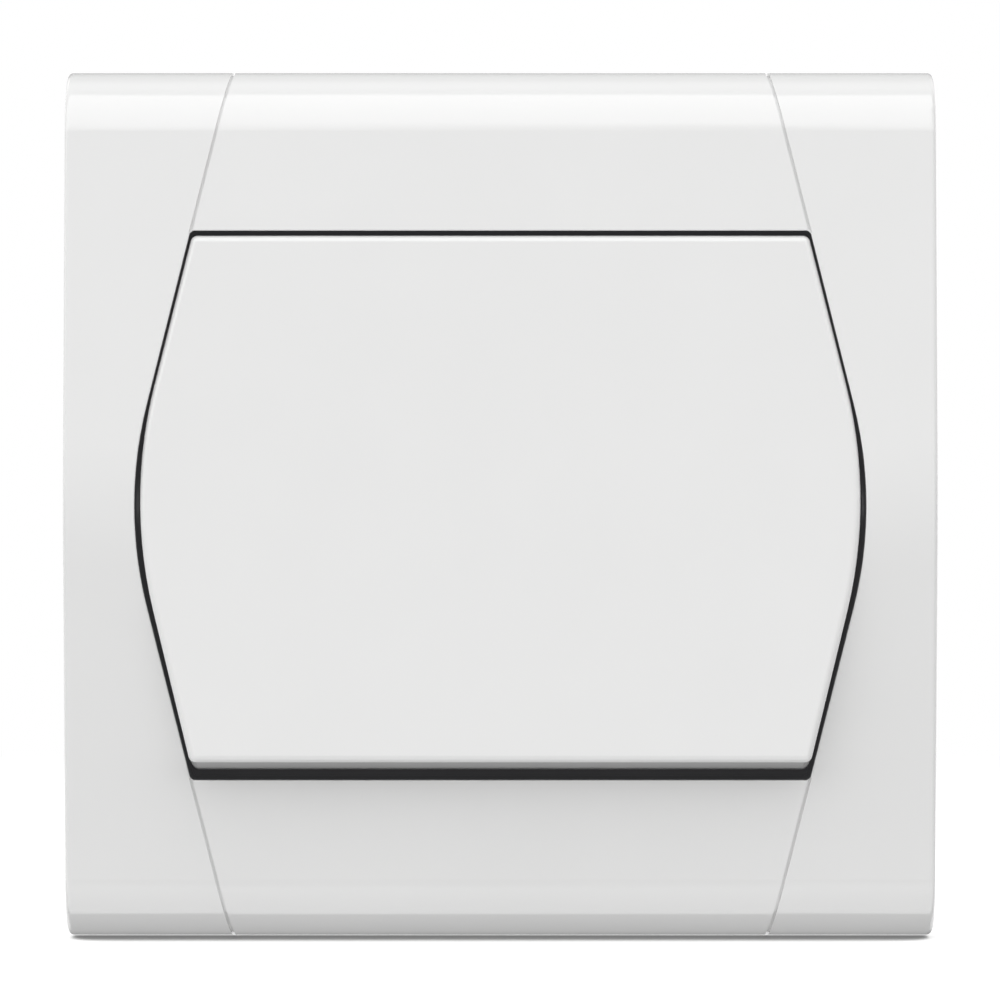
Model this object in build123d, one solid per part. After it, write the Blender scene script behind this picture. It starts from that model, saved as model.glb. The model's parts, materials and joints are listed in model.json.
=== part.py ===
"""Two-way rocker wall switch: cover frame, inner surround, rocker and the flush insert behind them.

Origin at the centre of the wall plane. +X is right and +Z is up as the user sees the switch, -Y comes out
of the wall towards the user, and +Y runs into the wall box. The rocker is at rest with its lower end out.
"""
from build123d import *
import os
from math import atan, cos, radians, sin, tan

# ---- Driving dimensions, in millimetres and degrees ----
# Cover frame
FRAME_SIZE = 80.0  # width and height
FRAME_DEPTH = 10.0  # wall plane to the crest
FRAME_SLOPE = 4.5  # upper and lower planes fall back from the crest
FRAME_WALL = 2.0
CREST_BLEND = 5.0  # the crest is rounded over this half-height
ROLL_RADIUS = 6.1  # top and bottom edges
EDGE_RADIUS = 0.45  # side edges and plan corners
GROOVE_WIDTH = 0.28
GROOVE_DEPTH = 0.26
LIP = 0.65  # thickness of the frame where the inner surround starts behind it
LIP_RADIUS = 0.12

# Barrel-shaped opening, and the rocker that fills it
SIDE_SLOPE = 0.247  # the sides narrow by this much per millimetre above and below the waist
OPENING_LINE = 34.63  # where the straight sides would meet the middle
OPENING_ARC = 38.9
OPENING_HALF = 25.2
ROCKER_LINE = 34.24
ROCKER_ARC = 43.3
ROCKER_FACE_HALF = 24.06
ROCKER_RIM_HALF = 24.7
ROCKER_RIM_GROW = 0.09  # the side walls flare by this much from face to rim
ROCKER_SKIRT = 5.4
ROCKER_WALL = 1.5
ROCKER_FACE_THICK = 1.8
OPENING_CORNER = 0.5
ROCKER_CORNER = 0.7
ROCKER_EDGE_RADIUS = 0.6  # all round the face

# Rocker motion
PIVOT_Y = -0.57  # the rocker turns about X through this depth
FACE_ABOVE_PIVOT = 9.45
REST_TILT = 4.5  # lower end out, upper end in; the other rest is the mirror image
SEESAW_Y = 13.4  # the contact rocker turns about X through this depth
SEESAW_TILT = 8.0

# Inner surround
SURROUND_WALL = 1.0
SURROUND_FLOOR = 0.8
SURROUND_REACH = 2.4  # the floor reaches this far inwards
FIT = 0.05  # clearance between fixed pieces that plug together

# Support ring of 1.2 mm steel
RING_SIZE = 70.0
RING_THICK = 1.2
RING_HOLE = (19.2, 21.2)  # half-width and half-height of the cut-out
BOX_SCREW_PITCH = 60.0
SLOT_LENGTH = 5.0
SLOT_HALF_WIDTH = 1.8

# Insert housing and its cover
HOUSING_HALF = (19.0, 21.0)
HOUSING_DEPTH = 21.0
HOUSING_WALL = 1.5
BACK_WALL = 2.5
COVER_HALF = (24.0, 22.5)
COVER_FRONT = -3.0
COVER_BACK = -1.25
WELL_DEPTH = 3.2  # the front well of the housing, above its chambers
CHAMBER = (7.2, 14.2)  # inner and outer walls of the side chambers
POST = (13.8, 15.8)  # inner faces of the corner posts
SCREW_AT = (16.3, 18.3)
RIVET_AT = (21.6, 11.0)

# Cradle, plunger and their bearings
CRADLE_HALF = (10.6, 12.0)
CRADLE_FACES = (-4.4, -2.6)  # front and back of its plate, from the pivot
TRUNNION_RADIUS = 1.5
BEARING_RADIUS = 1.55
EAR = (10.8, 13.6)
PEG_AT = (7.0, 8.0)
TUBE_RADIUS = 3.2
TUBE_BORE = 2.1
TUBE_END = 8.0
PLUNGER_RADIUS = 2.0
PLUNGER_REACH = 12.4
PLUNGER_TOP = 3.0

# Contacts and terminals
TIP_RADIUS = 1.5
TIP_AT = 6.5
FIXED_TIP_FRONT = 14.88
BAR = (15.6, 16.4)  # depth of the brass bars
LEG = (15.9, 16.7)  # where the clamping legs stand, above and below the middle
STRAP_X = (7.4, 8.6)
LEG_FRONT = 6.0
WIRE_AT = (11.5, 14.0)
WIRE_RADIUS = 1.7
FUNNEL = 0.6  # depth and width of the lead-in round each wire entry
SPRING_WIDTH = 4.4

# Release buttons
BUTTON = (9.4, 13.6)
BUTTON_HALF = 3.0
BUTTON_PROUD = 1.5

# Fixing claws and their screws
CLAW_SLANT = 15.0  # the screws lean outwards towards the front
CLAW_SCREW_X = 23.5  # where a screw's axis crosses the middle of the ring
CLAW_SCREW_RADIUS = 1.5
CLAW_HOLE = 2.4
CLAW_REST = (12.5, 17.5)  # along the screw, from the ring
CLAW_HALF = 4.2
RECESS_HALF = 5.2

os.makedirs("parts", exist_ok=True)


# ---- Shape helpers ----
def block(x0, x1, y0, y1, z0, z1):
    """A box given by its faces."""
    return Pos((x0 + x1) / 2, (y0 + y1) / 2, (z0 + z1) / 2) * Box(x1 - x0, y1 - y0, z1 - z0)


def rod_y(x, z, radius, y0, y1):
    """A cylinder along Y."""
    return Pos(x, (y0 + y1) / 2, z) * Rot(X=90) * Cylinder(radius, y1 - y0)


def rod_x(y, z, radius, x0, x1):
    """A cylinder along X."""
    return Pos((x0 + x1) / 2, y, z) * Rot(Y=90) * Cylinder(radius, x1 - x0)


def prism(face, y0, y1):
    """Extrude a face drawn in (x, z) between two depths."""
    return Pos(0, y1, 0) * Rot(X=90) * extrude(face, y1 - y0)


def mirrored(shape, plane=Plane.YZ):
    """The shape and its mirror image, as a list."""
    return [shape, mirror(shape, plane)]


def four(shape):
    """A shape repeated in the four quadrants of the XZ plane."""
    return [m for s in mirrored(shape) for m in mirrored(s, Plane.XY)]


def barrel(line, arc, half, corner=0.0, grow=0.0):
    """The barrel outline, drawn in (x, z): flat top and bottom, slanting sides and a round waist."""
    lean = atan(SIDE_SLOPE)
    line, arc, half = line + grow / cos(lean), arc + grow, half + grow
    centre = line - arc / cos(lean)
    top = (line - SIDE_SLOPE * half, half)
    join = (centre + arc * cos(lean), arc * sin(lean))
    waist = (centre + arc, 0)
    low_join, bottom = (join[0], -join[1]), (top[0], -half)
    right = Line(top, join) + ThreePointArc(join, waist, low_join) + Line(low_join, bottom)
    outline = right + mirror(right, Plane.YZ) + Line(top, (-top[0], half)) + Line(bottom, (-top[0], -half))
    face = make_face(outline.edges())
    if corner:
        face = fillet([v for v in face.vertices() if abs(abs(v.Y) - half) < 1e-6], corner)
    return face


def opening(grow=0.0):
    return barrel(OPENING_LINE, OPENING_ARC, OPENING_HALF, max(OPENING_CORNER + grow, 0.2), grow)


def gable(inset=0.0, half_width=FRAME_SIZE / 2):
    """The frame's section, set in by a distance and extruded to a half-width on each side."""
    half = FRAME_SIZE / 2 - inset
    slope = radians(FRAME_SLOPE)
    crest = -FRAME_DEPTH - CREST_BLEND / 2 * tan(slope) + inset / cos(slope)
    shoulder = crest + half * tan(slope)
    section = Polygon((0, -half), (shoulder, -half), (crest, 0), (shoulder, half), (0, half), align=None)
    section = fillet(section.vertices().sort_by(Axis.X)[:1], CREST_BLEND / sin(slope))
    shoulders = [v for v in section.vertices() if abs(v.Y) > half - 1e-6 and v.X < -1e-6]
    section = fillet(shoulders, ROLL_RADIUS - inset)
    return extrude(Plane.YZ * section, half_width, both=True)


def about_pivot(shape):
    """Place a shape drawn about the rocker's pivot in its rest tilt."""
    return Pos(0, PIVOT_Y, 0) * Rot(X=-REST_TILT) * shape


def about_seesaw(shape):
    """Place a shape drawn about the contact rocker's pivot in its rest tilt."""
    return Pos(0, SEESAW_Y, 0) * Rot(X=SEESAW_TILT) * shape


def cross_recess(length, width, depth, face_y):
    """A cross slot sunk into a screw head whose front is at face_y."""
    arm = block(-length / 2, length / 2, face_y, face_y + depth, -width / 2, width / 2)
    return arm + Rot(Y=90) * arm


# ---- Visible pieces ----
def cover_frame():
    body = gable()
    sides = [f for f in body.faces() if abs(abs(f.center().X) - FRAME_SIZE / 2) < 1e-6]
    edges = [e for f in sides for e in f.edges() if e.center().Y < -1e-6]
    body = fillet(edges, EDGE_RADIUS)
    body -= gable(FRAME_WALL, FRAME_SIZE / 2 - FRAME_WALL)
    body -= prism(opening(), -FRAME_DEPTH - 2, 1)
    body -= gable(LIP) & prism(opening(SURROUND_WALL + FIT), -FRAME_DEPTH - 2, 1)
    lip = [e for e in body.edges() if on_front_lip(e)]
    body = fillet(lip, LIP_RADIUS)
    body -= grooves()
    inside = gable(FRAME_WALL / 2, FRAME_SIZE / 2 - FRAME_WALL / 2)
    body += four(block(RING_SIZE / 2 + FIT, RING_SIZE / 2 + 1.5, -8.0, -0.3, 17, 23) & inside)
    for x in (6.0, 24.0):
        body += four(block(x - 0.5, x + 0.5, -8.0, -1.6, OPENING_HALF + 1.6, FRAME_SIZE / 2) & inside)
    return body + four(block(RING_SIZE / 2 - 0.3, FRAME_SIZE / 2, -10, -1.6, 7.5, 8.5) & inside)


def on_front_lip(edge):
    """Whether an edge runs along the front of the frame's opening."""
    at = edge @ 0.5
    surface = -FRAME_DEPTH + max(abs(at.Z) - CREST_BLEND / 2, 0) * tan(radians(FRAME_SLOPE))
    return abs(at.X) < OPENING_LINE and abs(at.Z) < OPENING_HALF + 0.1 and at.Y < surface + 0.15


def grooves():
    """Four shallow grooves that carry the opening's slanting sides on to the frame's edge."""
    skin = gable(-0.5, FRAME_SIZE / 2) - gable(GROOVE_DEPTH)
    mid = (OPENING_HALF + FRAME_SIZE / 2) / 2 + 0.7
    slab = Box(GROOVE_WIDTH, 2 * FRAME_DEPTH, 17.5)
    slab = Pos(OPENING_LINE - 0.07 - SIDE_SLOPE * mid, -FRAME_DEPTH, mid) * Rot(Y=-14) * slab
    slab -= block(0, FRAME_SIZE, -3 * FRAME_DEPTH, FRAME_DEPTH, 0, OPENING_HALF - 0.2)
    return four(skin & slab)


def inner_surround():
    """Charcoal liner behind the frame's lip: its wall lines the opening and its floor hides the ring."""
    back = -RING_THICK - 0.15
    tube = prism(opening(SURROUND_WALL) - opening(), -FRAME_DEPTH - 2, back) & gable(LIP + FIT)
    floor = prism(opening(SURROUND_WALL) - opening(-SURROUND_REACH), back - SURROUND_FLOOR, back)
    floor -= mirrored(block(25, 33.2, -5, 1, -4.5, 4.5))
    leg = block(13, 19, back, -FIT, OPENING_HALF, OPENING_HALF + SURROUND_WALL)
    return tube + floor + four(leg)


def rocker():
    def ring(depth, half, grow):
        flat = barrel(ROCKER_LINE, ROCKER_ARC, half - grow, ROCKER_CORNER, grow)
        return Pos(0, -depth, 0) * Rot(X=90) * flat

    rim = FACE_ABOVE_PIVOT - ROCKER_SKIRT
    under = FACE_ABOVE_PIVOT - ROCKER_FACE_THICK
    body = loft([ring(FACE_ABOVE_PIVOT, ROCKER_FACE_HALF, 0), ring(rim, ROCKER_RIM_HALF, ROCKER_RIM_GROW)])
    front = body.faces().sort_by(Axis.Y)[0]
    body = fillet(front.edges(), ROCKER_EDGE_RADIUS)
    body -= loft(
        [
            ring(under, ROCKER_FACE_HALF - ROCKER_WALL + 0.35, -ROCKER_WALL),
            ring(rim - 0.2, ROCKER_RIM_HALF - ROCKER_WALL, -ROCKER_WALL),
        ]
    )
    for z in (-15.5, 15.5):
        body += block(-27, 27, -under - 0.3, -under + 1.5, z - 0.6, z + 0.6)
    for x in (-19, 19):
        body += block(x - 0.6, x + 0.6, -under - 0.3, -under + 1.5, -22.5, 22.5)
    peg = block(PEG_AT[0] - 1.5, PEG_AT[0] + 1.5, -under - 0.3, -1.6, PEG_AT[1] - 0.9, PEG_AT[1] + 0.9)
    hook = block(PEG_AT[0] - 1.5, PEG_AT[0] + 1.5, CRADLE_FACES[1] + FIT, -1.6, PEG_AT[1], PEG_AT[1] + 1.5)
    return about_pivot(body + four(peg + hook))


# ---- Moving mechanism ----
def switch_cradle():
    """Carrier under the rocker: peg sockets, two trunnions and the tube that guides the plunger."""
    front, back = CRADLE_FACES
    half_x, half_z = CRADLE_HALF
    body = block(-half_x, half_x, front, back, -half_z, half_z)
    cheek = block(half_x - 1.6, half_x, front, 0, -3, 3) + rod_x(0, 0, 3, half_x - 1.6, half_x)
    body += mirrored(cheek + rod_x(0, 0, TRUNNION_RADIUS, half_x, EAR[1] - 0.2))
    body += rod_y(0, 0, TUBE_RADIUS, back, TUBE_END)
    body -= rod_y(0, 0, TUBE_BORE, front + 1.0, TUBE_END)
    x, z = PEG_AT
    body -= four(block(x - 1.6, x + 1.6, front, back, z - 1.0, z + 1.6))
    return about_pivot(body)


def contact_spring():
    """Compression spring between the cradle and its plunger."""
    length = PLUNGER_TOP + CRADLE_FACES[0] * -1 - 1.0 - 0.1
    wire = 0.4
    coil = Helix(pitch=(length - wire) / 6, height=length - wire, radius=1.6)
    section = Plane(origin=coil @ 0, z_dir=coil % 0) * Circle(wire / 2)
    spring = sweep(section, path=coil, is_frenet=True)
    start = CRADLE_FACES[0] + 1.0 + 0.05 + wire / 2
    return about_pivot(Pos(0, start, 0) * Rot(X=-90) * spring)


def spring_plunger():
    """Round-nosed pin that rolls across the contact rocker."""
    nose = PLUNGER_REACH - PLUNGER_RADIUS
    body = rod_y(0, 0, PLUNGER_RADIUS, PLUNGER_TOP, nose)
    return about_pivot(body + Pos(0, nose, 0) * Sphere(PLUNGER_RADIUS))


def contact_rocker():
    """Copper strip that the plunger tips from one fixed contact to the other."""
    strip = block(-2.5, 2.5, -1.5, -0.5, -8, 8)
    strip = fillet(strip.edges().filter_by(Axis.Y), 1.0)
    saddle = block(-2.5, 2.5, -0.5, 0.7, -1.4, 1.4) - block(-3, 3, 0, 1, -0.6, 0.6)
    return about_seesaw(strip + saddle - rod_x(0, 0, 0.65, -3, 3))


def moving_tips():
    crown = 4.0
    tip = rod_y(0, TIP_AT, TIP_RADIUS, -0.5, 0.5)
    tip &= Pos(0, 0.5 - crown, TIP_AT) * Sphere(crown)
    return [about_seesaw(t) for t in mirrored(tip, Plane.XY)]


# ---- Fixed contacts and terminals ----
def clamp_legs(side, ends):
    """Straps in a side chamber with one clamping leg at each named end; side and ends are +1 or -1."""
    x0, x1 = STRAP_X
    legs = []
    for end in ends:
        strap = block(x0, x1, *BAR, 0.6, LEG[1]) + block(x0, BUTTON[1] - 0.1, LEG_FRONT, BAR[1], *LEG)
        legs.append(strap if end > 0 else mirror(strap, Plane.XY))
    return [leg if side > 0 else mirror(leg, Plane.YZ) for leg in legs]


def common_terminal():
    """Brass yoke with the pivot pin of the contact rocker, joined to both clamps on the right."""
    body = block(-4, STRAP_X[1], *BAR, -1.5, 1.5)
    body += mirrored(block(3.2, 4, SEESAW_Y - 0.9, BAR[1], -1.5, 1.5))
    body += rod_x(SEESAW_Y, 0, 0.6, -3.2, 3.2)
    return body + clamp_legs(1, (1, -1))


def output_terminal(end):
    """Brass bar from one fixed contact to its clamp on the left; end is +1 above, -1 below."""
    body = block(-STRAP_X[1], TIP_RADIUS + 0.5, *BAR, 5, 8)
    if end < 0:
        body = mirror(body, Plane.XY)
    for leg in clamp_legs(-1, (end,)):
        cut = block(-STRAP_X[1] - 1, 0, 0, BAR[1] + 1, -5 * abs(end), 5)
        body += leg - cut
    return body


def fixed_tips():
    tip = rod_y(0, TIP_AT - 0.1, TIP_RADIUS, FIXED_TIP_FRONT, BAR[0])
    return mirrored(tip, Plane.XY)


def clamp_springs(side):
    """Two leaf springs that press the wires against the clamping legs of one side chamber."""
    path = FilletPolyline((10.0, 4.3), (5.0, 4.3), (5.0, 8.0), (14.9, 15.2), radius=1.6)
    leaf = trace(path, 0.35)
    leaf = extrude(Plane.YZ * leaf, SPRING_WIDTH / 2, both=True)
    leaf = Pos(side * WIRE_AT[0], 0, 0) * leaf
    return mirrored(leaf, Plane.XY)


# ---- Housing ----
def insert_housing():
    half_x, half_z = HOUSING_HALF
    front, floor = COVER_BACK, HOUSING_DEPTH - BACK_WALL
    body = block(-half_x, half_x, front, HOUSING_DEPTH, -half_z, half_z)
    body = fillet(body.edges().filter_by(Axis.Y), 2.0)
    inner_x, inner_z = half_x - HOUSING_WALL, half_z - HOUSING_WALL
    well = block(-inner_x, inner_x, front, WELL_DEPTH, -inner_z, inner_z)
    middle = block(-6, 6, WELL_DEPTH, floor, -12, 12)
    chamber = block(*CHAMBER, WELL_DEPTH, floor, -inner_z, inner_z)
    chamber += four(block(CHAMBER[0], inner_x, WELL_DEPTH, floor, 7, inner_z))
    corner = four(block(POST[0], half_x, front, floor, POST[1], half_z))
    pockets = well + middle + mirrored(chamber & block(0, 20, -20, 20, -20, 20))
    body -= pockets - corner
    body -= claw_recesses()
    # windows between the middle and the side chambers for the brass bars
    for z in (-6.5, 6.5):
        body -= block(-CHAMBER[0], -6, BAR[0] - 0.1, floor, z - 1.6, z + 1.6)
    body -= block(6, CHAMBER[0], BAR[0] - 0.1, floor, -1.6, 1.6)
    # rib between the two clamps on the left
    body += block(-CHAMBER[1], -CHAMBER[0], WELL_DEPTH, 7.5, -0.5, 0.5)
    x, z = SCREW_AT
    body -= four(rod_y(x, z, 1.05, front, 8))
    window = block(BUTTON[0] - 0.1, BUTTON[1] + 0.1, floor, HOUSING_DEPTH, -BUTTON_HALF - 0.1, BUTTON_HALF + 0.1)
    body -= mirrored(window)
    back = body.faces().sort_by(Axis.Y)[-1]
    body = chamfer(back.outer_wire().edges(), 0.4)
    return body - four(wire_entry()) - back_details() + side_ribs()


def wire_entry():
    """Round hole through the back wall with a funnel at its mouth."""
    x, z = WIRE_AT
    hole = rod_y(x, z, WIRE_RADIUS, HOUSING_DEPTH - BACK_WALL, HOUSING_DEPTH)
    funnel = Cone(WIRE_RADIUS, WIRE_RADIUS + FUNNEL, FUNNEL)
    return hole + Pos(x, HOUSING_DEPTH - FUNNEL / 2, z) * Rot(X=-90) * funnel


def back_details():
    """Cuts in the back wall: a shallow panel, the stripping gauge and a test slot beside each wire entry."""
    back = HOUSING_DEPTH
    panel = block(-5.6, 5.6, back - 0.4, back, -9, 9)
    panel = fillet(panel.edges().filter_by(Axis.Y), 1.0)
    gauge = block(-6, 6, back - 0.8, back, -18.2, -16.8)
    gauge += mirrored(block(5.2, 6, back - 0.8, back, -18.8, -16.2))
    slot = block(6.6, 8.4, back - BACK_WALL, back, 13.4, 14.6)
    return [panel, gauge] + four(slot)


def side_ribs():
    """Upright grip ribs on the top and bottom of the housing."""
    top = HOUSING_HALF[1]
    return [r for x in (4.5, 9.0, 13.5) for r in four(block(x - 0.5, x + 0.5, 2.6, 19.5, top - 0.2, top + 0.7))]


def claw_recesses():
    """Slanting troughs in the housing's sides that the claws slide along."""
    trough = block(-3.3, 20, -10, 24, -RECESS_HALF, RECESS_HALF)
    return mirrored(along_claw_screw(trough))


def housing_cover():
    """Front plate of the insert, with the ears that carry the cradle's trunnions."""
    half_x, half_z = COVER_HALF
    body = block(-half_x, half_x, COVER_FRONT, COVER_BACK, -half_z, half_z)
    body = fillet(body.edges().filter_by(Axis.Y), 3.0)
    body -= block(-EAR[0], EAR[0], COVER_FRONT, COVER_BACK, -13.5, 13.5)
    body -= mirrored(block(20.2, 25, COVER_FRONT, COVER_BACK, -3.8, 3.8))
    ear = block(*EAR, COVER_FRONT - 0.4, 2.4, -3.2, 3.2)
    body += mirrored(ear)
    body -= mirrored(rod_x(PIVOT_Y, 0, BEARING_RADIUS, EAR[0] - 1, EAR[1] + 1))
    x, z = SCREW_AT
    body -= four(rod_y(x, z, 1.1, COVER_FRONT, COVER_BACK))
    x, z = RIVET_AT
    return body - four(rod_y(x, z, 1.05, COVER_FRONT, COVER_BACK))


def support_ring():
    half = RING_SIZE / 2
    body = block(-half, half, -RING_THICK, 0, -half, half)
    body = chamfer(body.edges().filter_by(Axis.Y), 4.0)
    body -= block(-RING_HOLE[0], RING_HOLE[0], -RING_THICK, 0, -RING_HOLE[1], RING_HOLE[1])
    slot = extrude(SlotOverall(SLOT_LENGTH, 2 * SLOT_HALF_WIDTH), 4 * RING_THICK, both=True)
    for turn in (0, 90, 180, 270):
        body -= Rot(Y=turn) * Pos(BOX_SCREW_PITCH / 2, 0, 0) * Rot(X=90) * slot
    body -= four(block(12.9, 19.1, -RING_THICK, 0, OPENING_HALF - 0.1, OPENING_HALF + SURROUND_WALL + 0.1))
    body -= mirrored(rod_y(CLAW_SCREW_X, 0, CLAW_HOLE, -RING_THICK, 0))
    body -= four(block(24.5, 30.5, -RING_THICK, 0, 29.2, 31.4))
    x, z = RIVET_AT
    return body - four(rod_y(x, z, 1.05, -RING_THICK, 0))


# ---- Fasteners, claws and buttons ----
def along_claw_screw(shape):
    """Place a shape drawn about a screw along Y on the right-hand claw screw's axis; Y = 0 at the ring."""
    return Pos(CLAW_SCREW_X, -RING_THICK / 2, 0) * Rot(Z=CLAW_SLANT) * shape


def assembly_screws():
    """Four screws that hold the cover on the housing."""
    x, z = SCREW_AT
    head = rod_y(0, 0, 1.9, COVER_FRONT - 1.2, COVER_FRONT)
    head = fillet(head.edges().sort_by(Axis.Y)[:1], 0.5)
    head -= cross_recess(2.0, 0.5, 0.6, COVER_FRONT - 1.2)
    return four(Pos(x, 0, z) * (head + rod_y(0, 0, 1.0, COVER_FRONT, 7.0)))


def ring_rivets():
    """Four rivets that hold the cover on the support ring, flush at the back."""
    x, z = RIVET_AT
    head = rod_y(0, 0, 1.7, COVER_FRONT - 0.6, COVER_FRONT)
    head = fillet(head.edges().sort_by(Axis.Y)[:1], 0.4)
    return four(Pos(x, 0, z) * (head + rod_y(0, 0, 1.0, COVER_FRONT, -FIT)))


def claw_screw():
    """Pan-head screw that draws a claw forwards."""
    front = -3.0
    head = rod_y(0, 0, 2.7, front, -1.4)
    head = fillet(head.edges().sort_by(Axis.Y)[:1], 0.7)
    head -= cross_recess(3.2, 0.8, 0.9, front)
    shank = rod_y(0, 0, CLAW_SCREW_RADIUS, -1.4, 20.0)
    return along_claw_screw(head + chamfer(shank.edges().sort_by(Axis.Y)[-1:], 0.4))


def claw():
    """Steel claw block with teeth on its outer lip."""
    back, front = CLAW_REST[1], CLAW_REST[0]
    body = block(-3.0, 3.0, front, back, -CLAW_HALF, CLAW_HALF)
    body += block(3.0, 5.6, front, front + 1.4, -CLAW_HALF, CLAW_HALF)
    for z in (-2.8, 0, 2.8):
        body -= Pos(5.6, 0, z) * Rot(Y=45) * Box(1.2, 60, 1.2)
    return along_claw_screw(body - rod_y(0, 0, CLAW_SCREW_RADIUS + FIT, front - 1, back + 1))


def release_button():
    """Push stem behind the right-hand chamber with wings that stop just short of both clamp springs."""
    half, back = BUTTON_HALF, HOUSING_DEPTH + BUTTON_PROUD
    stem = block(*BUTTON, 12.4, back, -half, half)
    stem = fillet(stem.faces().sort_by(Axis.Y)[-1].edges(), 0.4)
    middle = sum(BUTTON) / 2
    stem -= block(middle - 0.5, middle + 0.5, back - 0.8, back, -1.9, 1.9)
    wings = block(*BUTTON, 12.4, 13.6, -11.4, 11.4)
    return stem + wings


# ---- Write one file per piece ----
def write(name, shapes):
    shapes = shapes if isinstance(shapes, list) else [shapes]
    solids = [s for shape in shapes for s in shape.solids()]
    export_step(solids[0] if len(solids) == 1 else Compound(children=solids), f"parts/{name}.step")


write("cover_frame", cover_frame())
write("inner_surround", inner_surround())
write("rocker", rocker())
write("switch_cradle", switch_cradle())
write("contact_spring", contact_spring())
write("spring_plunger", spring_plunger())
write("contact_rocker", contact_rocker())
write("moving_contact_tips", moving_tips())
write("common_terminal", common_terminal())
write("upper_terminal", output_terminal(1))
write("lower_terminal", output_terminal(-1))
write("fixed_contact_tips", fixed_tips())
write("insert_housing", insert_housing())
write("housing_cover", housing_cover())
write("support_ring", support_ring())
write("assembly_screws", assembly_screws())
write("ring_rivets", ring_rivets())
for side, place in (("right", lambda s: s), ("left", lambda s: mirror(s, Plane.YZ))):
    write(f"clamp_springs_{side}", [place(s) for s in clamp_springs(1)])
    write(f"release_button_{side}", place(release_button()))
    write(f"claw_{side}", place(claw()))
    write(f"claw_screw_{side}", place(claw_screw()))
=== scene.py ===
"""Studio scene for the rocker wall switch: finishes, added pieces, light, floor and camera."""
import bpy
import json
from math import cos, pi, radians, sin
import bmesh
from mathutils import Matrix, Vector


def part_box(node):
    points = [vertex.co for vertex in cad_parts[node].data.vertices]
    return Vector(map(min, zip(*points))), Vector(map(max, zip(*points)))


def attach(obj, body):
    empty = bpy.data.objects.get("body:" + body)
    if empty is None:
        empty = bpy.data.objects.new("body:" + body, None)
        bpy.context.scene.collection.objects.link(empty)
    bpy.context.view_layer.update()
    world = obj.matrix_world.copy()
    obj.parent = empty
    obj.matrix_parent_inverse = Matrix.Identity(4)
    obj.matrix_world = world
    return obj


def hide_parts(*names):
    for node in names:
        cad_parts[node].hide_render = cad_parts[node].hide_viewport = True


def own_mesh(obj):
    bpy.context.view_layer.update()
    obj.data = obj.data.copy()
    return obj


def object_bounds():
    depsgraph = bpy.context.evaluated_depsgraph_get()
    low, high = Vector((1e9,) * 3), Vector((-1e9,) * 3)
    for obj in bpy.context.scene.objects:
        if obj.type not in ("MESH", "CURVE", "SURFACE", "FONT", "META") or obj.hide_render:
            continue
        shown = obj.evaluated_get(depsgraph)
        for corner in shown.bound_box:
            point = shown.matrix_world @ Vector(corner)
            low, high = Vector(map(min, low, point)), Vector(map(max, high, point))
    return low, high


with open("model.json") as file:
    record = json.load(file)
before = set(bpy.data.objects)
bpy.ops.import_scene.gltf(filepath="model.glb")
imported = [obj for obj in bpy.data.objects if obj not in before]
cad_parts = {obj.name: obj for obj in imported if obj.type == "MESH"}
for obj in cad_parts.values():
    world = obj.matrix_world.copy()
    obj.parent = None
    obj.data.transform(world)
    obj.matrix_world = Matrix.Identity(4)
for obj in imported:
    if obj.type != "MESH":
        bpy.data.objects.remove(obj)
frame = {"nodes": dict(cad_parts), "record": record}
cad_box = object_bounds()

# ---- Driving values, in metres ----
MM = 0.001

CAMERA_DISTANCE = 0.507  # from the frame's crest
CAMERA_HEIGHT = 0.0090  # above the switch's middle, looking down at it
LENS = 199.85  # in millimetres, as is SENSOR
SENSOR = 36
AIM = -0.70  # degrees below level
FRAMING = (-0.0003, -0.0248)  # small shift that places the switch as the photograph frames it

THREAD_STEPS = 36  # to a turn
THREAD_PITCH = 0.8 * MM
THREAD_ROOT = 1.2 * MM
THREAD_CREST = 1.495 * MM
HEAD_BACK = -1.1 * MM  # this and the four below are depths along the screw from its joint's place
NECK_FRONT = -1.2 * MM
NECK_BACK = 0.55 * MM
THREAD_START = 0.9 * MM
SCREW_END = 19.98 * MM
TIP_RADIUS = 0.85 * MM

BACK_FACE = 21.0 * MM
MARK_SIZE = 3.0 * MM
MARK_RELIEF = 0.08 * MM
PANEL_FLOOR = 20.6 * MM
LINE_RADIUS = 0.14 * MM
POLE_RADIUS = 0.36  # in millimetres, like the points of the diagram
POLE_POINTS = 20

STUDIO_STRENGTH = 2.33
REAR_FILL = 0.56
FLOOR_RADIUS = 0.6
FLOOR_GAP = 0.2 * MM  # under the switch
FLOOR_GLOW = 0.30
# how far the painted contact shadow on the floor reaches
PAINTED_SHADOW_REACH = 6 * MM
FADE_FROM, FADE_TO = 0.10, 0.28


# ---- Node helpers ----
def new_tree(owner):
    """A cleared node tree with its output node."""
    owner.use_nodes = True
    tree = owner.node_tree
    tree.nodes.clear()
    kind = "ShaderNodeOutputWorld" if isinstance(owner, bpy.types.World) else "ShaderNodeOutputMaterial"
    return tree, tree.nodes.new(kind)


def add(tree, kind, inputs=None, **settings):
    """A node with settings and input values; a socket given as a value is linked."""
    node = tree.nodes.new(kind)
    for key, value in settings.items():
        setattr(node, key, value)
    for key, value in (inputs or {}).items():
        if isinstance(value, bpy.types.NodeSocket):
            tree.links.new(value, node.inputs[key])
        else:
            node.inputs[key].default_value = value
    return node


def math(tree, operation, a, b=0.0):
    """One operation on two numbers or sockets."""
    return add(tree, "ShaderNodeMath", {0: a, 1: b}, operation=operation).outputs[0]


def zero_to_one(tree, value):
    """A value from -1 to 1 moved to 0 to 1, as a ramp needs it."""
    return math(tree, "ADD", math(tree, "MULTIPLY", value, 0.5), 0.5)


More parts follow.
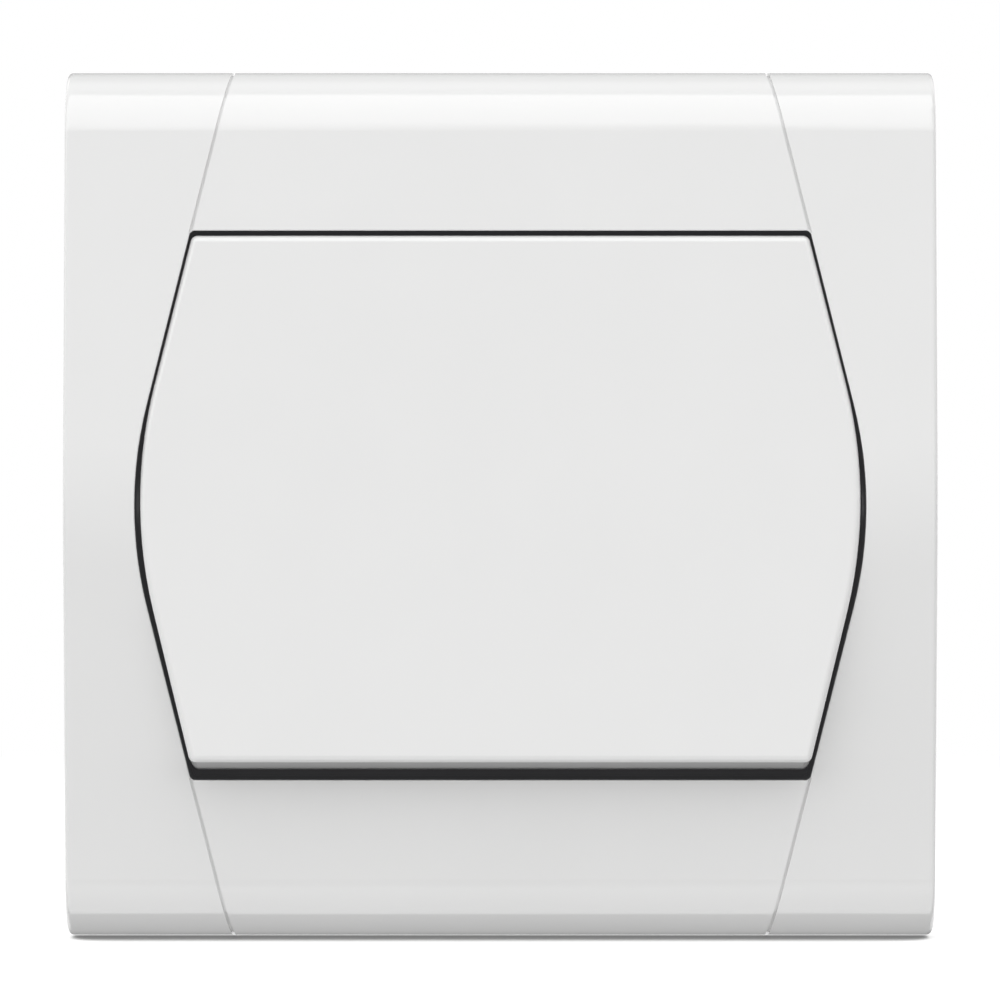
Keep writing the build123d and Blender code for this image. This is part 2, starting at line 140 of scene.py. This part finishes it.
def ramp(tree, value, stops):
    """A grey or coloured ramp over 0 to 1; stops are (position, value or colour)."""
    node = add(tree, "ShaderNodeValToRGB", {"Fac": value})
    elements = node.color_ramp.elements
    while len(elements) > 1:
        elements.remove(elements[0])
    for i, (position, colour) in enumerate(stops):
        element = elements[0] if i == 0 else elements.new(position)
        element.position = position
        element.color = colour if isinstance(colour, tuple) else (colour, colour, colour, 1)
    return node.outputs["Color"]


def blend(tree, factor, a, b, mode="MIX"):
    """Mix two colours; a colour may be a socket or a tuple."""
    inputs = {"Factor": factor, 6: a, 7: b}
    return add(tree, "ShaderNodeMix", inputs, data_type="RGBA", blend_type=mode).outputs[2]


def object_place(tree):
    """The shaded point in the object's own metres."""
    return add(tree, "ShaderNodeTexCoord").outputs["Object"]


def noise(tree, scale, detail=3.0, stretch=(1, 1, 1), roughness=0.5):
    """Noise in the object's own metres."""
    place = add(tree, "ShaderNodeMapping", {"Vector": object_place(tree), "Scale": stretch}).outputs["Vector"]
    values = {"Vector": place, "Scale": scale, "Detail": detail, "Roughness": roughness}
    return add(tree, "ShaderNodeTexNoise", values).outputs["Fac"]


def bump(tree, height, distance, normal=None):
    """A bumped normal, on top of another one if that is given."""
    values = {"Height": height, "Distance": distance, "Strength": 1.0}
    if normal:
        values["Normal"] = normal
    return add(tree, "ShaderNodeBump", values).outputs["Normal"]


def soft_edge(tree, radius):
    """Rounded shading normal for edges that are sharp in the mesh, and a mask that is white along them."""
    rounded = add(tree, "ShaderNodeBevel", {"Radius": radius}, samples=4).outputs["Normal"]
    facing = add(tree, "ShaderNodeNewGeometry").outputs["Normal"]
    alike = add(tree, "ShaderNodeVectorMath", {0: rounded, 1: facing}, operation="DOT_PRODUCT")
    return rounded, ramp(tree, alike.outputs["Value"], [(0.80, 1.0), (0.985, 0.0)])


def surface(tree, out, values):
    """Shade the material with a Principled BSDF."""
    shader = add(tree, "ShaderNodeBsdfPrincipled", values)
    tree.links.new(shader.outputs[0], out.inputs["Surface"])


# ---- Materials ----
def opaque(colour, by=1.0):
    """A colour with its alpha, brightened or darkened by a factor."""
    return tuple(min(c * by, 1) for c in colour) + (1,)


def plastic(name, colour, shift, rough, grain, depth, specular=0.5, edge=0.0, painted_glow=0.0):
    """Moulded plastic: a colour that drifts by shift, a roughness range, a grain of a size and depth, and an
    optional painted glow in its own colour.
    """
    material = bpy.data.materials.new(name)
    tree, out = new_tree(material)
    drift = noise(tree, 90, 2.0)
    base = ramp(tree, drift, [(0.3, opaque(colour, 1 - shift)), (0.7, opaque(colour, 1 + shift))])
    gloss = ramp(tree, noise(tree, 220, 3.0), [(0.3, rough[0]), (0.7, rough[1])])
    rounded = None
    if edge:
        rounded, rim = soft_edge(tree, edge)
        base = blend(tree, rim, base, opaque(colour, 1 + 4 * shift))
    normal = bump(tree, noise(tree, 1 / grain, 2.0), depth, normal=rounded)
    # the glow makes the plastic give off light in its own colour: painted light, not a lamp
    surface(tree, out, {
        "Base Color": base, "Roughness": gloss, "Normal": normal, "Specular IOR Level": specular,
        "Emission Color": opaque(colour), "Emission Strength": painted_glow,
    })
    return material


def metal(name, colour, shift, rough, stretch, grain, depth, edge=0.0, spangle=0.0):
    """Metal with drawn or rolled streaks, a little tarnish, edges lighter in colour and, on zinc, crystal
    spangles.
    """
    material = bpy.data.materials.new(name)
    tree, out = new_tree(material)
    tarnish = noise(tree, 900, 5.0, roughness=0.65)
    base = ramp(tree, tarnish, [(0.3, opaque(colour, 1 - shift)), (0.7, opaque(colour))])
    streak = noise(tree, 1 / grain, 3.0, stretch)
    gloss = ramp(tree, streak, [(0.3, rough[0]), (0.7, rough[1])])
    if spangle:
        values = {"Vector": object_place(tree), "Scale": 1 / spangle, "Randomness": 1.0}
        crystal = add(tree, "ShaderNodeTexVoronoi", values)
        grey = add(tree, "ShaderNodeSeparateColor", {0: crystal.outputs["Color"]}).outputs[0]
        tone = ramp(tree, grey, [(0.0, opaque(colour, 0.86)), (1.0, opaque(colour, 1.08))])
        base = blend(tree, 0.45, base, tone)
        gloss = math(tree, "ADD", gloss, math(tree, "MULTIPLY", grey, 0.10))
    rounded = None
    if edge:
        rounded, rim = soft_edge(tree, edge)
        base = blend(tree, rim, base, opaque(colour, 1.15))
    normal = bump(tree, streak, depth, normal=rounded)
    surface(tree, out, {"Base Color": base, "Metallic": 1.0, "Roughness": gloss, "Normal": normal})
    return material


materials = {
    "white_plastic": plastic("white_plastic", (0.80, 0.80, 0.797), 0.006, (0.085, 0.115), 0.0016, 1.5e-7,
                             specular=1.0),
    # the charcoal plastic glows a little: painted light that lifts the deep shade in the gaps around the
    # rocker
    "charcoal_plastic": plastic("charcoal_plastic", (0.06, 0.06, 0.063), 0.12, (0.5, 0.62), 0.00025, 6e-6,
                                painted_glow=0.30),
    "grey_plastic": plastic("grey_plastic", (0.50, 0.505, 0.51), 0.03, (0.42, 0.55), 0.0003, 5e-6,
                            edge=0.00018),
    "ivory_plastic": plastic("ivory_plastic", (0.72, 0.69, 0.60), 0.02, (0.3, 0.4), 0.0004, 3e-6,
                             edge=0.00012),
    "button_plastic": plastic("button_plastic", (0.62, 0.16, 0.025), 0.04, (0.3, 0.42), 0.0003, 3e-6,
                              edge=0.00012),
    "zinc_steel": metal("zinc_steel", (0.63, 0.64, 0.66), 0.10, (0.24, 0.34), (1, 1, 0.08), 0.00018, 1.2e-6,
                        edge=0.00012, spangle=0.0022),
    "screw_steel": metal("screw_steel", (0.62, 0.62, 0.63), 0.16, (0.2, 0.32), (1, 1, 1), 0.0003, 1e-6,
                         edge=0.00006),
    "spring_steel": metal("spring_steel", (0.42, 0.43, 0.45), 0.2, (0.2, 0.3), (1, 0.1, 1), 0.0002, 1e-6),
    "brass": metal("brass", (0.78, 0.56, 0.22), 0.2, (0.22, 0.34), (1, 0.1, 1), 0.0002, 1e-6),
    "copper": metal("copper", (0.78, 0.38, 0.22), 0.2, (0.22, 0.34), (1, 1, 0.1), 0.0002, 1e-6),
    "contact_silver": metal("contact_silver", (0.84, 0.83, 0.8), 0.1, (0.18, 0.28), (1, 1, 1), 0.0003, 1e-6),
}

for part in frame["record"]["subparts"]:
    dressed = frame["nodes"][part["node"]].data.materials
    dressed.clear()
    dressed.append(materials[part["material_slot"]])


# ---- Pieces ----
def joint_named(name):
    """The record's joint of that name."""
    return next(j for j in frame["record"]["behaviour"]["joints"] if j["name"] == name)


def finish_piece(name, mesh, body, slot, crease=35):
    """Make a mesh into a piece that rides on a body and takes a slot's finish."""
    mesh.polygons.foreach_set("use_smooth", [True] * len(mesh.polygons))
    mesh.set_sharp_from_angle(angle=radians(crease))
    mesh.materials.append(materials[slot])
    piece = bpy.data.objects.new(name, mesh)
    bpy.context.scene.collection.objects.link(piece)
    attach(piece, body)
    return piece


def mesh_of(data, location=(0, 0, 0), rotation=(0, 0, 0)):
    """The bare mesh of a text or curve at a place in the scene."""
    holder = bpy.data.objects.new("holder", data)
    bpy.context.scene.collection.objects.link(holder)
    holder.location = location
    holder.rotation_euler = rotation
    bpy.context.view_layer.update()
    mesh = bpy.data.meshes.new_from_object(holder.evaluated_get(bpy.context.evaluated_depsgraph_get()))
    mesh.transform(holder.matrix_world)
    bpy.data.objects.remove(holder)
    mesh.materials.clear()
    return mesh


def thread_mesh(place):
    """A right-hand thread, closed by a neck in front and a cone at the tip.

    place(depth, radius, turn) gives a point from its depth along the axis, radius and angle.
    """
    root_flat = [(0.0, THREAD_ROOT), (0.12 * MM, THREAD_ROOT)]
    crest_flat = [(0.42 * MM, THREAD_CREST), (0.54 * MM, THREAD_CREST)]
    rows = int((SCREW_END - THREAD_START - THREAD_PITCH) / THREAD_PITCH * THREAD_STEPS)
    shape = bmesh.new()

    def ring(depth, radius):
        turns = [2 * pi * k / THREAD_STEPS for k in range(THREAD_STEPS)]
        return [shape.verts.new(place(depth, radius, turn)) for turn in turns]

    def join(a, b):
        for k in range(THREAD_STEPS):
            n = (k + 1) % THREAD_STEPS
            shape.faces.new((a[k], a[n], b[n], b[k]))

    def height(k, radius):
        """The radius in a row, which rises out of the root over the first turn and sinks over the last."""
        rise = min(1.0, k / THREAD_STEPS, (rows - k) / THREAD_STEPS)
        return THREAD_ROOT + (radius - THREAD_ROOT) * max(rise, 0.04)

    grid = []
    for k in range(rows + 1):
        turn = 2 * pi * k / THREAD_STEPS
        depth = THREAD_START + THREAD_PITCH * k / THREAD_STEPS
        row = [place(depth + along, height(k, radius), turn) for along, radius in root_flat + crest_flat]
        grid.append([shape.verts.new(point) for point in row])
    for k in range(rows):
        for j in range(3):
            shape.faces.new((grid[k][j], grid[k + 1][j], grid[k + 1][j + 1], grid[k][j + 1]))
        if k + THREAD_STEPS < rows:
            after = k + THREAD_STEPS
            shape.faces.new((grid[k][3], grid[k + 1][3], grid[after + 1][0], grid[after][0]))

    front = ring(NECK_FRONT, THREAD_CREST)
    middle = ring(NECK_BACK, THREAD_CREST)
    root = ring(THREAD_START - 0.05 * MM, THREAD_ROOT)
    last = THREAD_START + THREAD_PITCH * rows / THREAD_STEPS
    shoulder = ring(last + THREAD_PITCH, THREAD_ROOT)
    tip = ring(SCREW_END, TIP_RADIUS)
    join(front, middle)
    join(middle, root)
    join(shoulder, tip)
    shape.faces.new(front)
    shape.faces.new(tip)

    # the helix's first turn meets the neck, and its last turn meets the shoulder of the tip
    for k in range(THREAD_STEPS):
        shape.faces.new((root[k], root[(k + 1) % THREAD_STEPS], grid[k + 1][0], grid[k][0]))
    offset = rows % THREAD_STEPS
    for k in range(THREAD_STEPS):
        a = grid[rows - THREAD_STEPS + k]
        b = grid[rows - THREAD_STEPS + k + 1]
        c = shoulder[(offset + k) % THREAD_STEPS]
        d = shoulder[(offset + k + 1) % THREAD_STEPS]
        shape.faces.new((a[3], b[3], d, c))
    shape.faces.new((root[0], grid[THREAD_STEPS][0], *reversed(grid[0])))
    shape.faces.new((*grid[rows], shoulder[offset], grid[rows - THREAD_STEPS][3]))
    bmesh.ops.recalc_face_normals(shape, faces=shape.faces[:])
    return shape


def claw_screw(side):
    """The claw screw with its thread cut, behind the head of the CAD node."""
    node = f"claw_screw_{side}"
    joint = joint_named(f"{node}_turn")
    origin, axis = Vector(joint["pos_m"]), Vector(joint["axis"]).normalized()
    up = Vector((0, 0, 1))
    across = axis.cross(up)

    def place(depth, radius, turn):
        return origin + axis * depth + (up * cos(turn) + across * sin(turn)) * radius

    shape = thread_mesh(place)
    head = bmesh.new()
    head.from_mesh(frame["nodes"][node].data)
    bmesh.ops.remove_doubles(head, verts=head.verts[:], dist=1e-7)
    cut = bmesh.ops.bisect_plane(head, geom=head.verts[:] + head.edges[:] + head.faces[:], dist=1e-7,
                                 plane_co=origin + axis * HEAD_BACK, plane_no=axis, clear_outer=True)
    bmesh.ops.holes_fill(head, edges=[e for e in cut["geom_cut"] if isinstance(e, bmesh.types.BMEdge)])
    mesh = bpy.data.meshes.new(f"{node}_threaded")
    head.to_mesh(mesh)
    shape.from_mesh(mesh)
    shape.to_mesh(mesh)
    piece = finish_piece(f"{node}_threaded", mesh, f"claw_bolt_{side}", "screw_steel")
    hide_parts(node)


def back_marks():
    """Raised generic terminal marks on the housing's back: L for the common side, 1 and 2 for the outputs."""
    for letter, x, z in (("L", 11.5, 7.4), ("L", 11.5, -7.4), ("1", -11.5, 7.4), ("2", -11.5, -7.4)):
        text = bpy.data.curves.new("mark", "FONT")
        text.body, text.size, text.extrude = letter, MARK_SIZE, MARK_RELIEF
        text.align_x, text.align_y = "CENTER", "CENTER"
        text.resolution_u = 6
        mesh = mesh_of(text, (x * MM, BACK_FACE + MARK_RELIEF / 2, z * MM), (radians(90), 0, radians(180)))
        where = ("upper" if z > 0 else "lower") + ("_right" if x > 0 else "_left")
        finish_piece(f"mark_{where}", mesh, "fixed_parts", "grey_plastic")


def wiring_diagram():
    """Raised two-way switch symbol in the panel on the back: three poles and the blade between them."""
    poles = [(1.6, 0.0), (-1.7, 3.2), (-1.7, -3.2)]
    lines = [
        [(4.2, 0.0), (1.9, 0.0)], [(1.5, 0.35), (-1.7, 2.6)], [(-2.0, 3.2), (-4.2, 3.2)],
        [(-2.0, -3.2), (-4.2, -3.2)],
    ]
    curve = bpy.data.curves.new("diagram", "CURVE")
    curve.dimensions, curve.bevel_depth, curve.bevel_resolution = "3D", LINE_RADIUS, 2
    curve.use_fill_caps = True

    def stroke(points, closed):
        spline = curve.splines.new("POLY")
        spline.points.add(len(points) - 1)
        spline.use_cyclic_u = closed
        for point, (x, z) in zip(spline.points, points):
            point.co = (x * MM, PANEL_FLOOR, z * MM, 1)

    for line in lines:
        stroke(line, False)
    for x, z in poles:
        turns = [2 * pi * k / POLE_POINTS for k in range(POLE_POINTS)]
        stroke([(x + POLE_RADIUS * cos(turn), z + POLE_RADIUS * sin(turn)) for turn in turns], True)
    finish_piece("wiring_diagram", mesh_of(curve), "fixed_parts", "grey_plastic", 50)


def plunger_coil():
    """The plunger's spring, held by the cradle."""
    joint = joint_named("plunger_slide")
    axis = Vector(joint["axis"]).normalized()
    mesh = frame["nodes"]["contact_spring"].data.copy()
    mesh.materials.clear()
    piece = finish_piece("contact_spring_coil", mesh, "rocker_unit", "spring_steel", 60)
    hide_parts("contact_spring")
    ends = sorted((vertex.co.dot(axis), vertex.index) for vertex in mesh.vertices)
    seat = mesh.vertices[ends[-1][1]].co
    tuple(seat)
    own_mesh(piece)


for side in ("left", "right"):
    claw_screw(side)
back_marks()
wiring_diagram()
plunger_coil()


# ---- Light: a softbox above, a reflector below, darker in front and at the right ----
def studio_light():
    """World light by elevation in the plane across the switch's width, so highlights run level."""
    world = bpy.data.worlds.new("studio")
    bpy.context.scene.world = world
    tree, out = new_tree(world)
    ray = add(tree, "ShaderNodeSeparateXYZ", {0: add(tree, "ShaderNodeTexCoord").outputs["Generated"]})
    toward_front = math(tree, "MULTIPLY", ray.outputs["Y"], -1.0)
    angle = math(tree, "ARCTAN2", ray.outputs["Z"], toward_front)
    turn = math(tree, "ADD", math(tree, "DIVIDE", angle, radians(360)), 0.5)
    # degrees from the front over the top (90) to the back (180), and below the front under 0; then brightness
    levels = [
        (-180, 0.80), (-172, 0.60), (-160, 0.12), (-80.6, 0.10), (-80, 1.40), (-26, 0.60), (-23, 0.15),
        (-13, 0.18), (12, 0.62), (18, 0.66), (23, 1.62), (80, 1.60), (80.6, 0.50), (92, 0.50), (97, 0.62),
        (110, 0.60), (120, 0.28), (172, 0.28), (180, 0.80),
    ]
    level = ramp(tree, turn, [((degrees + 180) / 360, brightness / 2) for degrees, brightness in levels])
    width = zero_to_one(tree, ray.outputs["X"])
    across = ramp(tree, width, [(0.0, 0.95), (0.35, 0.97), (0.75, 1.0), (0.95, 0.5)])
    colour = blend(tree, 1.0, level, across, "MULTIPLY")
    # the rear of the studio is bright at both sides, where the front's level highlights never look
    sideways = ramp(tree, math(tree, "ABSOLUTE", ray.outputs["X"]), [(0.22, 0.0), (0.5, 1.0)])
    rear = ramp(tree, zero_to_one(tree, ray.outputs["Y"]), [(0.6, 0.0), (0.75, 1.0)])
    fill = math(tree, "MULTIPLY", sideways, rear)
    colour = blend(tree, fill, colour, opaque((REAR_FILL, REAR_FILL, REAR_FILL)))
    studio = add(tree, "ShaderNodeBackground", {"Color": colour, "Strength": STUDIO_STRENGTH})
    backdrop = add(tree, "ShaderNodeBackground", {"Color": (1, 1, 1, 1), "Strength": 1.0})
    seen = add(tree, "ShaderNodeLightPath").outputs["Is Camera Ray"]
    mix = add(tree, "ShaderNodeMixShader", {0: seen, 1: studio.outputs[0], 2: backdrop.outputs[0]})
    tree.links.new(mix.outputs[0], out.inputs["Surface"])


# ---- Floor ----
def floor_paper():
    """Pale paper with a painted contact shadow right under the switch, darkest where ambient occlusion is
    deepest, fading into white further out.
    """
    material = bpy.data.materials.new("floor_paper")
    tree, out = new_tree(material)
    open_sky = add(tree, "ShaderNodeAmbientOcclusion", {"Distance": PAINTED_SHADOW_REACH}, samples=12).outputs["AO"]
    # painted shade: the occlusion darkens the paper's colour and its glow into a contact shadow
    painted_contact_shadow = ramp(tree, open_sky, [(0.12, 0.26), (0.31, 0.64), (0.41, 0.85), (0.60, 0.97), (0.72, 1.0)])
    paper = add(tree, "ShaderNodeBsdfDiffuse", {"Color": blend(tree, 0.9, (0, 0, 0, 1), painted_contact_shadow)})
    painted_glow = add(tree, "ShaderNodeEmission", {"Color": painted_contact_shadow, "Strength": FLOOR_GLOW})
    lit = add(tree, "ShaderNodeAddShader", {0: paper.outputs[0], 1: painted_glow.outputs[0]})
    white = add(tree, "ShaderNodeEmission", {"Color": (1, 1, 1, 1), "Strength": 1.0})
    reach = add(tree, "ShaderNodeVectorMath", {0: object_place(tree)}, operation="LENGTH").outputs["Value"]
    span = {"Value": reach, "From Min": FADE_FROM, "From Max": FADE_TO}
    far = add(tree, "ShaderNodeMapRange", span, interpolation_type="SMOOTHSTEP").outputs["Result"]
    mix = add(tree, "ShaderNodeMixShader", {0: far, 1: lit.outputs[0], 2: white.outputs[0]})
    tree.links.new(mix.outputs[0], out.inputs["Surface"])
    return material


def pale_floor():
    """A round floor that takes the switch's soft shadow and lights nothing itself."""
    bpy.ops.mesh.primitive_circle_add(vertices=96, radius=FLOOR_RADIUS, fill_type="NGON")
    floor = bpy.context.object
    floor.name = "floor"
    floor.location = (0, 0, cad_box[0][2] - FLOOR_GAP)
    floor.data.materials.append(floor_paper())
    floor.visible_diffuse = False
    floor.visible_glossy = False
    floor.visible_shadow = False


# ---- Camera ----
def camera():
    """The photograph's camera, in front of the switch and a little above its middle."""
    data = bpy.data.cameras.new("camera")
    data.lens = LENS
    data.sensor_width = SENSOR
    data.shift_x, data.shift_y = FRAMING
    data.clip_start = 0.01
    eye = bpy.data.objects.new("camera", data)
    eye.location = (0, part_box("cover_frame")[0][1] - CAMERA_DISTANCE, CAMERA_HEIGHT)
    eye.rotation_euler = (radians(90 + AIM), 0, 0)
    bpy.context.scene.collection.objects.link(eye)
    bpy.context.scene.camera = eye


studio_light()
pale_floor()
camera()
bpy.context.scene.view_settings.view_transform = "Standard"
